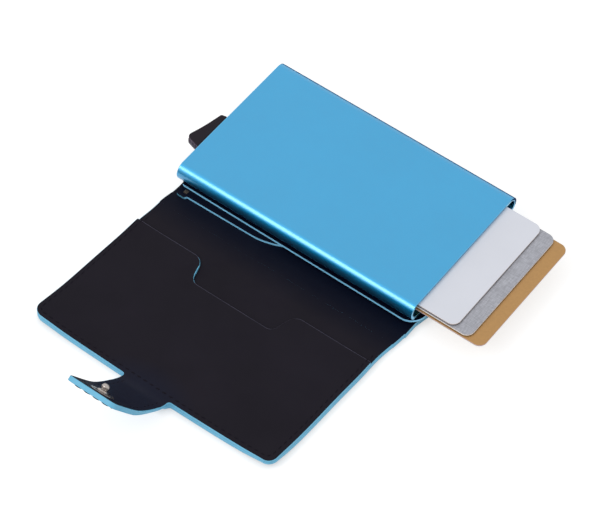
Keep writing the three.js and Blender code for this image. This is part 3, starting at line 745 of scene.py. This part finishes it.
def relaxed(settings, point):
    """Moves a point of the flat cover layout to where the worn leather lies, in metres."""
    x, y, z = point
    s = FLAP_END_Y - y
    x += root_pull(x, s)
    if s > 0:
        thinning = progress(s, 0, THINS_OVER)
        share = 1 + (strap_thickness(s) / POCKET_TOP - 1) * thinning * thinning * (3 - 2 * thinning)
        across = (x - FLAP_END_LEFT) / (FLAP_END_RIGHT - FLAP_END_LEFT)
        y, z = strap_point(s, (POCKET_TOP - z) * share)
        y -= bowed(across, END_BOWS) * (1 - progress(s, 0, STRAIGHT_AT))
        return placed(x, y, z)
    across = (x - left_x(y)) / (right_x(y) - left_x(y))
    x -= bowed(y, SPINE_BOWS) * max(0.0, 1 - across) ** 2
    if y < FOLD_Y:
        along = (y - FOLD_Y) / (FLAP_END_Y - FOLD_Y)
        x -= bowed(along, LEFT_BOWS) * (1 - across) ** 2 + bowed(along, RIGHT_BOWS) * across ** 2
        left, right = settings.left_curl / MM, settings.right_curl / MM
        curls = [(left, 0.0, 0.11, 1.0, 0.16), (right, 1.0, 0.09, 1.0, 0.14)]
        underside = lifted(across, along, UNDERSIDE_LIFTS) * (1 - z / POCKET_TOP)
        z += lifted(across, along, curls + EDGE_LIFTS) + underside
        y -= bowed(across, END_BOWS) * progress(along, 0.85, 0.15) ** 2
    return placed(x, y, z)


def relax_mesh(settings, mesh):
    for vert in mesh.verts:
        vert.co = relaxed(settings, vert.co)


def cover_piece(settings, name, nodes, finishes, corners, top, cuts, **shape):
    """A bending piece of the cover, cut across Y or X so that it can bend."""
    mesh = slab(corners, LEATHER_BOTTOM, top, settings.rounding / MM, **shape)
    for axis, places in cuts:
        slice_mesh(mesh, axis, places)
    paint_faces(mesh, leather_part)
    relax_mesh(settings, mesh)
    return finished(mesh, name, finishes, None, nodes)


def bend_strap(piece, bend):
    """Bakes a piece's transform. Where a bend over a stretch of the strap's length would start and end is
    worked out, but the piece is not bent.
    """
    start, end = (placed(STRAP_CENTRE_X, *strap_point(s, 0)) for s in bend)
    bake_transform(piece)


# Operators, one for each piece or group of like pieces


class CARDHOLDER_OT_case(Operator):
    """Build the aluminium tube with round sides and bright rims"""

    bl_idname = "cardholder.make_case"
    bl_label = "Case"

    def execute(self, context):
        settings = context.scene.holder_case
        mesh = bmesh.new()
        wall = settings.wall
        mouth = case_high.x - settings.mouth_inset
        loops = []
        for end, inset in ((case_low.x, 0.0), (mouth, 0.0), (mouth, wall), (case_low.x, wall)):
            loops.append(self.loop(mesh, end, inset, settings.round_steps))
        for k in range(len(loops)):
            bmesh.ops.bridge_loops(mesh, edges=loops[k - 1] + loops[k])
        bmesh.ops.recalc_face_normals(mesh, faces=mesh.faces[:])
        chamfers = (settings.lever_rim, settings.rim, settings.rim, settings.lever_rim)
        for chamfer in set(chamfers):
            rims = [edge for loop, size in zip(loops, chamfers) for edge in loop if size == chamfer]
            bevel(mesh, rims, chamfer, segments=2)
        nearly = 0.99
        ends = (case_low.x + settings.lever_rim * nearly, mouth - settings.rim * nearly)
        paint_faces(mesh, lambda face: int(not ends[0] < face.calc_center_median().x < ends[1]))
        finished(mesh, "case_body", [anodised_blue(settings), cut_rim(settings)], "rear",
                 ["case_shell"])
        return {"FINISHED"}

    def loop(self, mesh, x, inset, count):
        """A ring with round sides: half a circle at the front and half at the back."""
        middle_z = (case_low.z + case_high.z) / 2
        outer_radius = (case_high.z - case_low.z) / 2
        turn = Matrix.Rotation(math.pi / 2, 4, "Y") @ Matrix.Rotation(math.pi / count, 4, "Z")
        ring = bmesh.ops.create_circle(
            mesh, segments=count, radius=outer_radius - inset, cap_ends=False, matrix=turn)["verts"]
        for vert in ring:
            side = case_high.y - outer_radius if vert.co.y > 0 else case_low.y + outer_radius
            vert.co += Vector((x, side, middle_z))
        members = set(ring)
        return [edge for edge in mesh.edges if edge.verts[0] in members and edge.verts[1] in members]


class CARDHOLDER_OT_lever(Operator):
    """Build the lever with its ribbed thumb piece, and dress the end cap and the pivot"""

    bl_idname = "cardholder.make_lever"
    bl_label = "Lever"

    def execute(self, context):
        settings = context.scene.holder_case
        plastic = moulded_plastic(settings)
        mesh = slab(LEVER_OUTLINE, LEVER_BOTTOM, LEVER_TOP, rounding=0.35, segments=10, lower_rounding=1.4)
        for k in range(RIB_COUNT):
            bar = bmesh.ops.create_uvsphere(mesh, u_segments=8, v_segments=8, radius=1.0)["verts"]
            bmesh.ops.scale(mesh, verts=bar, vec=RIB_SIZE)
            bmesh.ops.translate(mesh, verts=bar, vec=FIRST_RIB + RIB_STEP * k)
        to_metres(mesh)
        front = placed(0, WORN_AND_HIGHLIT_TO_Y, 0).y
        # Forward-looking faces at the front are paler: thumb wear and a painted highlight
        paint_faces(mesh, lambda face: int(face.normal.y < -0.35 and face.calc_center_median().y < front))
        self.add_arm(mesh)
        finished(mesh, "lever_moulding", [plastic, worn_and_highlit_plastic(settings)], "lever",
                 ["ejector_lever"])
        dress("end_cap", plastic)
        dress("pivot_pin", nickel("pivot_steel", (0.55, 0.54, 0.5, 1), 0.25))
        dress("pivot_washer", nickel("washer_steel", (0.6, 0.58, 0.52, 1), 0.3))
        dress("stack_spring", nickel("spring_steel", (0.42, 0.43, 0.45, 1), 0.3))
        return {"FINISHED"}

    def add_arm(self, mesh):
        """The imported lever's arm and boss, cut off where the thumb piece begins."""
        overlap = 0.0009
        arm = bmesh.new()
        arm.from_mesh(frame["nodes"]["ejector_lever"].data)
        bmesh.ops.remove_doubles(arm, verts=arm.verts[:], dist=1e-7)
        cut = bmesh.ops.bisect_plane(
            arm, geom=arm.verts[:] + arm.edges[:] + arm.faces[:], dist=1e-7,
            plane_co=(case_low.x - overlap, 0, 0), plane_no=(-1, 0, 0), clear_outer=True)["geom_cut"]
        rim = [item for item in cut if isinstance(item, bmesh.types.BMEdge)]
        bmesh.ops.holes_fill(arm, edges=rim, sides=0)
        paint_faces(arm)
        data = bpy.data.meshes.new("lever_arm")
        arm.to_mesh(data)
        arm.free()
        mesh.from_mesh(data)
        bpy.data.meshes.remove(data)


class CARDHOLDER_OT_strips(Operator):
    """Build the felt strips that grip the cards and the foam tape under the case"""

    bl_idname = "cardholder.make_strips"
    bl_label = "Felt strips and foam tape"

    def execute(self, context):
        strip, tape = felt(), foam_tape()
        for side in ("front", "back"):
            self.pad("grip_strip_" + side, "felt_strip_" + side, strip, "felt", 0.0003)
        self.pad("adhesive_pad", "foam_tape", tape, "adhesive", 0.00008)
        return {"FINISHED"}

    def pad(self, node, name, finish, slot, rounding):
        low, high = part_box(node)
        mesh = block(low, high, rounding, rounding, segments=3)
        slice_mesh(mesh, "x", steps(low.x / MM + 1, high.x / MM - 1, 2.0))
        scale_to_metres(mesh)
        paint_faces(mesh)
        finished(mesh, name, [finish], "rear", [node], sharp=60)


class CARDHOLDER_OT_cards(Operator):
    """Build the three laminated cards"""

    bl_idname = "cardholder.make_cards"
    bl_label = "Cards"

    def execute(self, context):
        settings = context.scene.holder_cards
        white = card_face("white_laminate", settings.white, 0.38)
        silver, gold = silver_face(settings), gold_face(settings)
        self.card(settings, "first_card", white, settings.white_core, "white")
        self.card(settings, "second_card", silver, settings.silver_core, "silver")
        self.card(settings, "third_card", gold, settings.gold_core, "gold")
        return {"FINISHED"}

    def card(self, settings, name, face, core, kind):
        low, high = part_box("card_" + kind)
        mesh = block(low, high, settings.corner, settings.edge, 12, lower_rounding=settings.lower_edge / MM)
        scale_to_metres(mesh)
        paint_faces(mesh, self.part)
        # The lower rounding gets the core colour made nearly black: painted shade under the card's edge
        edge, lip = card_core(kind + "_core", core), card_core(kind + "_painted_shade", tinted(core, 0.012))
        finished(mesh, name, [face, edge, lip], kind + "_card", ["card_" + kind])

    def part(self, face):
        """0 on the card's faces, 1 on its edge and 2 on the rounding below that, painted nearly black as
        painted shade.
        """
        lowest, highest, upright = -0.97, -0.12, 0.6
        return 2 if lowest < face.normal.z < highest else int(abs(face.normal.z) < upright)


class CARDHOLDER_OT_panels(Operator):
    """Build the two leather panels below the case, with their painted edges and the bar tack"""

    bl_idname = "cardholder.make_panels"
    bl_label = "Panels"

    def execute(self, context):
        settings = context.scene.holder_leather
        # A lighter copy of the edge paint as painted highlight, and a darker copy on the slip pocket's ear as
        # painted shade
        finishes = [
            # The panels' tops take the fold's painted shade colour
            lining_leather(settings, "panel_leather", settings.fold_painted_shade),
            painted_edge("lit_panel_edge", settings.lit_panel_edge),
            painted_edge("shaded_ear_edge", tinted(settings.edge_paint, 0.55)),
        ]
        back, hole = PANEL_BACK_Y, (*SOCKET, STUD_ROOM)
        case_panel = slab([
            (1.6, 0.65, 1.4), (106.4, 0.2, 6.5), (106.4, back, 6.5), (1.6, back, 6.5),
        ], panel_low.z / MM, panel_high.z / MM, rounding=0.2, segments=12, hole=hole)
        slip = slab([
            (2.3, -3.1, 0.7), (3.6, -3.35, 0.8), (5.9, -3.35, 0.7), (6.7, -2.35, 0.6), (42.6, -1.9, 24.0),
            (61.0, 9.1, 0), (105.4, 9.1, 0), (105.4, back, 6.0), (2.3, back, 6.0),
        ], slip_low.z / MM, slip_high.z / MM, rounding=0.2, segments=12, hole=hole)
        for mesh, name, node in ((case_panel, "case_leather_panel", "case_panel"),
                                 (slip, "slip_leather_panel", "slip_pocket_panel")):
            to_metres(mesh)
            paint_faces(mesh, lambda face: self.part(face, node == "slip_pocket_panel"))
            finished(mesh, name, finishes, "rear", [node])
        self.bar_tack(slip_high.z / MM)
        return {"FINISHED"}

    def part(self, face, has_ear):
        """0 on the leather, and on edges facing −X as painted shade; 1 on its painted edge, made lighter as a
        painted highlight; 2 on the edge of the slip pocket's ear, made darker as painted shade.
        """
        if abs(face.normal.z) > 0.9 or face.normal.x < -0.75:
            return 0
        return 2 if has_ear and face.calc_center_median().x < placed(6.0, 0, 0).x else 1

    def bar_tack(self, height):
        """A block of close stitches that holds the slip pocket's corner."""
        mesh = bmesh.new()
        x, y = FIRST_TACK
        for k in range(TACK_COUNT):
            turn = Matrix.Rotation(TACK_SLANT * (-1) ** k, 4, "Z")
            lay = Matrix.Translation((x + TACK_STEP * k, y, height)) @ turn @ Matrix.Diagonal(TACK_SIZE)
            bmesh.ops.create_uvsphere(mesh, u_segments=8, v_segments=6, radius=1.0, matrix=lay)
        to_metres(mesh)
        paint_faces(mesh)
        finished(mesh, "bar_tack", [tack_thread()], "rear", weighted=False)


class CARDHOLDER_OT_rear_cover(Operator):
    """Build the rear leather, from the case's back edge to the middle of the spine"""

    bl_idname = "cardholder.make_rear_cover"
    bl_label = "Rear cover"

    def execute(self, context):
        settings = context.scene.holder_leather
        back, middle = COVER_BACK_Y, SPINE_MIDDLE_Y
        corners = [
            (left_x(middle), middle, 0), (right_x(middle), middle, 0), (SPINE_RIGHT - 0.2, FOLD_Y, 0),
            (104.7, 2.5, 0), (106.0, 9.0, 0), (106.0, back, 6.0), (0.9, back, 6.0), (0.8, 0.0, 0),
            (SPINE_LEFT, FOLD_Y, 0)]
        cuts = [("y", steps(FOLD_Y - 3, FOLD_Y + 3, 0.4) + [middle + 1.5])]
        finishes = cover_finishes(settings, "spine_leather")
        piece = cover_piece(
            settings, "rear_leather", ["rear_cover", "rear_lining"], finishes, corners, LINING_TOP, cuts,
            segments=12, seams=[middle], hole=(*SOCKET, SOCKET_ROOM))
        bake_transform(piece)
        return {"FINISHED"}


class CARDHOLDER_OT_flap(Operator):
    """Build the flap's leather and its pocket panel with the thumb notch"""

    bl_idname = "cardholder.make_flap"
    bl_label = "Flap"

    def execute(self, context):
        settings = context.scene.holder_leather
        finishes = cover_finishes(settings, "flap_lining_leather")
        end, middle, mouth, floor = FLAP_END_Y, SPINE_MIDDLE_Y, MOUTH_Y, NOTCH_FLOOR_Y
        seam = end - STRAP_SEAM
        front = [
            (left_x(end), end, 4.0), (STRAP_LEFT, end, 1.0), (STRAP_LEFT, seam, 0), (STRAP_RIGHT, seam, 0),
            (STRAP_RIGHT, end, 1.0), (right_x(end), end, 3.4)]
        # Close cuts at the fold, on the strap's root and near the sides
        cuts = [("y", steps(FLAP_FOLD_Y - 3, FLAP_FOLD_Y + 3, 0.4) + steps(end + 1, FLAP_FOLD_Y - 4, 3.0)),
                ("y", steps(end, seam + 0.75, 0.75)),
                ("x", steps(-5, 13, 1.8) + steps(18, 82, 8.0) + steps(88, 104, 1.8))]
        piece = cover_piece(
            settings, "flap_leather", ["flap_cover", "flap_lining", "spine_cover", "spine_lining"], finishes,
            front + [(right_x(middle), middle, 0), (left_x(middle), middle, 0)], LINING_TOP, cuts,
            segments=10, seams=[middle, seam], lower_rounding=0.4)
        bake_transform(piece)
        pocket = slab(front + [
            (right_x(mouth), mouth, 0.6), (70.2, mouth, 4.5), (67.2, floor, 3.0), (31.6, floor, 3.6),
            (29.0, mouth, 4.5), (left_x(mouth), mouth, 0.6),
        ], LINING_TOP + 0.02, POCKET_TOP, rounding=0.25, segments=10, seams=[seam])
        for axis, places in cuts:
            slice_mesh(pocket, axis, places)
        paint_faces(pocket, self.pocket_part)
        relax_mesh(settings, pocket)
        finished(pocket, "flap_pocket_leather", finishes[1:] + [mouth_highlight_and_shade(settings)], "flap",
                 ["flap_pocket"])
        return {"FINISHED"}

    def pocket_part(self, face):
        """0 on the lining, 1 on a painted edge, and 2 on the mouth's rounding, lighter as a painted
        highlight, and on the notch's wall facing −X, grey in place of edge paint as painted shade.
        """
        if self.in_notch(face, 1):
            return 1
        if face.normal.y > 0.2 or self.in_notch(face, -1):
            return 2
        return int(abs(face.normal.z) <= FLAT)

    def in_notch(self, face, facing):
        """Whether a face belongs to a side wall of the thumb notch, facing along X as asked."""
        middle = face.calc_center_median()
        inside = NOTCH_FLOOR_Y - 1 < middle.y and NOTCH_FROM_X < middle.x < NOTCH_TO_X
        return inside and face.normal.x * facing > 0.25


class CARDHOLDER_OT_strap(Operator):
    """Build the closing strap that curls up from the flap's front edge"""

    bl_idname = "cardholder.make_strap"
    bl_label = "Strap"

    def execute(self, context):
        settings = context.scene.holder_leather
        left, right, tip = STRAP_LEFT, STRAP_RIGHT, FLAP_END_Y - STRAP_LENGTH
        seam, middle = FLAP_END_Y - STRAP_SEAM, FLAP_END_Y - STRAP_MIDDLE_SEAM
        finishes, cuts = cover_finishes(settings, "strap_leather"), [("y", steps(seam - 0.75, tip + 3, 0.75))]
        neck = [(left, middle, 0), (right, middle, 0), (right, seam, 0), (left, seam, 0)]
        tail = [(left, tip, 2.4), (right, tip, 2.4), (right, middle, 0), (left, middle, 0)]
        for part, bodies, bend, corners, seams in (
                ("strap_neck", ("flap", "strap_neck"), NECK_BEND, neck, [middle, seam]),
                ("strap_end", ("strap_neck", "strap_end"), END_BEND, tail, [middle])):
            nodes = [part + "_cover", part + "_lining"]
            piece = cover_piece(
                settings, part + "_leather", nodes, finishes, corners, POCKET_TOP, cuts, seams=seams)
            bend_strap(piece, bend)
        return {"FINISHED"}


class CARDHOLDER_OT_snap(Operator):
    """Build the snap's stud and cap, and dress its socket"""

    bl_idname = "cardholder.make_snap"
    bl_label = "Snap"

    def execute(self, context):
        metal = nickel("snap_nickel", (0.50, 0.455, 0.425, 1), 0.22)
        finished(self.turned(STUD_PROFILE), "snap_ball", [metal], "strap_end", ["snap_stud"])
        brushed = nickel("cap_nickel", (0.56, 0.54, 0.52, 1), 0.5, metallic=0.35)
        finished(self.turned(CAP_PROFILE), "rivet_cap", [brushed], "strap_end", ["stud_cap"])
        dress("snap_socket", metal)
        return {"FINISHED"}

    def turned(self, profile):
        """Spins a profile and lays it on the strap at the stud's place."""
        mesh = bmesh.new()
        points = [mesh.verts.new((radius, 0, height)) for radius, height in profile]
        edges = [mesh.edges.new(pair) for pair in zip(points, points[1:])]
        bmesh.ops.spin(
            mesh, geom=points + edges, cent=(0, 0, 0), axis=(0, 0, 1), angle=2 * math.pi, steps=32,
            use_merge=True)
        bmesh.ops.remove_doubles(mesh, verts=mesh.verts[:], dist=1e-4)
        bmesh.ops.recalc_face_normals(mesh, faces=mesh.faces[:])
        paint_faces(mesh)
        tilt = Matrix.Rotation(-strap_angle(STUD_PLACE), 4, "X")
        lay = Matrix.Translation(placed(STRAP_CENTRE_X, *strap_point(STUD_PLACE, 0)))
        bmesh.ops.transform(mesh, matrix=lay @ tilt @ Matrix.Scale(MM, 4), verts=mesh.verts[:])
        return mesh


class CARDHOLDER_OT_stitching(Operator):
    """Sew the flap and the strap: one short thread after another along their edges"""

    bl_idname = "cardholder.make_stitching"
    bl_label = "Stitching"

    def execute(self, context):
        settings = context.scene.holder_leather
        thread = waxed_thread(settings)
        inset, near = settings.stitch_inset / MM, settings.flap_inset / MM
        pitch, long_pitch = settings.stitch_pitch / MM, settings.long_pitch / MM
        end, tip, middle = FLAP_END_Y, FLAP_END_Y - STRAP_LENGTH, FLAP_END_Y - STRAP_MIDDLE_SEAM
        flap_path = [
            (left_x(SEWN_TO_Y) + near, SEWN_TO_Y), (left_x(end) + near + 0.1, end + near + 1.4),
            (left_x(end) + near + 1.4, end + near), (right_x(end) - near - 1.4, end + near),
            (right_x(end) - near - 0.1, end + near + 1.4), (right_x(SEWN_TO_Y) - near, SEWN_TO_Y)]
        strap_path = [
            (STRAP_LEFT + inset, end + 0.5), (STRAP_LEFT + inset, tip + inset),
            (STRAP_RIGHT - inset, tip + inset), (STRAP_RIGHT - inset, end + 0.5)]
        for name, height_at in (
                ("flap_stitches_inside", lambda y: POCKET_TOP if y < MOUTH_Y else LINING_TOP),
                ("flap_stitches_outside", lambda y: 0.13)):
            mesh = self.row(settings, flap_path, pitch, height_at)
            finished(mesh, name, [thread], "flap", weighted=False)
        for name, height, pitch, girth in (("strap_stitches_inside", POCKET_TOP - 0.03, pitch, 0.12),
                                           ("strap_stitches_outside", -0.3, long_pitch, 0.55)):
            for part, bodies, bend, keep in (
                    ("_end", ("strap_neck", "strap_end"), END_BEND, lambda y: y < middle - 1),
                    ("_neck", ("flap", "strap_neck"), NECK_BEND, lambda y: middle + 1 < y < end - 3)):
                mesh = self.row(settings, strap_path, pitch, lambda y: height, keep, girth)
                piece = finished(mesh, name + part, [thread], None, weighted=False)
                bend_strap(piece, bend)
        return {"FINISHED"}

    def row(self, settings, path, pitch, height_at, keep=lambda y: True, girth=0.12):
        """Stitches along a path in the flat layout, moved to where the leather lies."""
        slant, half_width, half_length = 0.12, 0.26, 0.34
        mesh = bmesh.new()
        for (x0, y0), (x1, y1) in zip(path, path[1:]):
            length = math.hypot(x1 - x0, y1 - y0)
            angle = math.atan2(y1 - y0, x1 - x0)
            size = Matrix.Diagonal((girth, half_width, min(pitch, length) * half_length, 1))
            count = max(1, round(length / pitch))
            for k in range(count):
                share = (k + 0.5) / count
                x, y = x0 + (x1 - x0) * share, y0 + (y1 - y0) * share
                if not keep(y):
                    continue
                spot = Matrix.Translation((x, y, height_at(y))) @ Matrix.Rotation(angle + slant, 4, "Z")
                bmesh.ops.create_uvsphere(
                    mesh, u_segments=6, v_segments=5, radius=1.0,
                    matrix=spot @ Matrix.Rotation(math.pi / 2, 4, "Y") @ size)
        relax_mesh(settings, mesh)
        paint_faces(mesh)
        return mesh


class CARDHOLDER_OT_stage(Operator):
    """Set up the pale floor, the soft light and the camera"""

    bl_idname = "cardholder.make_stage"
    bl_label = "Stage"

    def execute(self, context):
        settings = context.scene.holder_stage
        scene = context.scene
        scene.view_settings.view_transform = "Standard"
        self.floor(settings)
        self.sky(scene, settings)
        self.lamp(scene, settings)
        self.flag()
        self.camera(scene, settings)
        return {"FINISHED"}

    def flag(self):
        """Dark card on the floor in front, upright behind it, and on the floor behind the case."""
        mesh = bmesh.new()
        cards = [mesh.faces.new([mesh.verts.new((x, y, CARD_HEIGHT)) for x, y in outline])
                 for outline in (FRONT_CARD, BACK_CARD)]
        grown = bmesh.ops.extrude_edge_only(mesh, edges=[cards[0].edges[0]])["geom"]
        bmesh.ops.translate(mesh, vec=(0, 0, UPRIGHT_HEIGHT), verts=only_verts(grown))
        flag = finished(mesh, "dark_flag", [dark_card()], weighted=False)
        for ray in ("camera", "diffuse", "shadow", "transmission"):
            setattr(flag, "visible_" + ray, False)

    def floor(self, settings):
        mesh = bmesh.new()
        bmesh.ops.create_grid(mesh, x_segments=1, y_segments=1, size=6.0)
        floor = finished(mesh, "floor", [floor_paint(settings)], weighted=False)

    def sky(self, scene, settings):
        """White where it is seen, directly or by a reflection, and of the set strength as light."""
        world = bpy.data.worlds.new("even_sky")
        scene.world = world
        world.use_nodes = True
        tree = world.node_tree
        tree.nodes.clear()
        seen = add_node(tree, "LightPath").outputs
        either = maths(tree, "MAXIMUM", seen["Is Camera Ray"], seen["Is Glossy Ray"])
        seen_through = maths(tree, "MAXIMUM", either, seen["Is Transmission Ray"])
        light, white = (
            add_node(tree, "Background", {"Strength": strength, "Color": (1, 1, 1, 1)}).outputs["Background"]
            for strength in (settings.sky, 1.0))
        mix = add_node(tree, "MixShader", {"Fac": seen_through, 1: light, 2: white})
        add_node(tree, "OutputWorld", {"Surface": mix.outputs["Shader"]})

    def lamp(self, scene, settings):
        data = bpy.data.lights.new("softbox", "AREA")
        data.shape = "RECTANGLE"
        data.size, data.size_y = LAMP_SIZE
        data.energy = settings.softbox
        lamp = bpy.data.objects.new("softbox", data)
        lamp.location = LAMP_AIM + LAMP_DISTANCE * LAMP_DIRECTION
        lamp.rotation_euler = (LAMP_AIM - lamp.location).to_track_quat("-Z", "Y").to_euler()
        scene.collection.objects.link(lamp)

    def camera(self, scene, settings):
        az, el = settings.azimuth, settings.elevation
        back = Vector((math.sin(az) * math.cos(el), -math.cos(az) * math.cos(el), math.sin(el)))
        right = Vector((math.cos(az), math.sin(az), 0))
        up = back.cross(right)
        data = bpy.data.cameras.new("camera")
        data.sensor_width = 36
        data.lens = settings.lens
        data.clip_start = 0.01
        camera = bpy.data.objects.new("camera", data)
        turn = Matrix((right, up, back)).transposed().to_4x4()
        camera.matrix_world = Matrix.Translation(Vector(settings.aim) + back * settings.distance) @ turn
        scene.collection.objects.link(camera)
        scene.camera = camera


class CARDHOLDER_PT_sidebar(Panel):
    """Lists the operators and their settings"""

    bl_idname = "CARDHOLDER_PT_sidebar"
    bl_label = "Card holder"
    bl_space_type = "VIEW_3D"
    bl_region_type = "UI"
    bl_category = "Card holder"

    def draw(self, context):
        layout = self.layout
        for operator in OPERATORS:
            layout.operator(operator.bl_idname)
        for name in SETTINGS:
            box = layout.box()
            group = getattr(context.scene, name)
            for key in group.__annotations__:
                box.prop(group, key)


OPERATORS = (
    CARDHOLDER_OT_stage,
    CARDHOLDER_OT_case,
    CARDHOLDER_OT_lever,
    CARDHOLDER_OT_strips,
    CARDHOLDER_OT_cards,
    CARDHOLDER_OT_panels,
    CARDHOLDER_OT_rear_cover,
    CARDHOLDER_OT_flap,
    CARDHOLDER_OT_strap,
    CARDHOLDER_OT_snap,
    CARDHOLDER_OT_stitching,
)

SETTINGS = {
    "holder_case": CaseSettings,
    "holder_cards": CardSettings,
    "holder_leather": LeatherSettings,
    "holder_stage": StageSettings,
}

CLASSES = (*SETTINGS.values(), *OPERATORS, CARDHOLDER_PT_sidebar)


def register():
    for item in CLASSES:
        bpy.utils.register_class(item)
    for name, group in SETTINGS.items():
        setattr(bpy.types.Scene, name, PointerProperty(type=group))


def unregister():
    for name in SETTINGS:
        delattr(bpy.types.Scene, name)
    for item in reversed(CLASSES):
        bpy.utils.unregister_class(item)


def main():
    register()
    for operator in OPERATORS:
        make = getattr(bpy.ops.cardholder, operator.bl_idname.partition(".")[2])
        make()


if __name__ == "__main__":
    main()
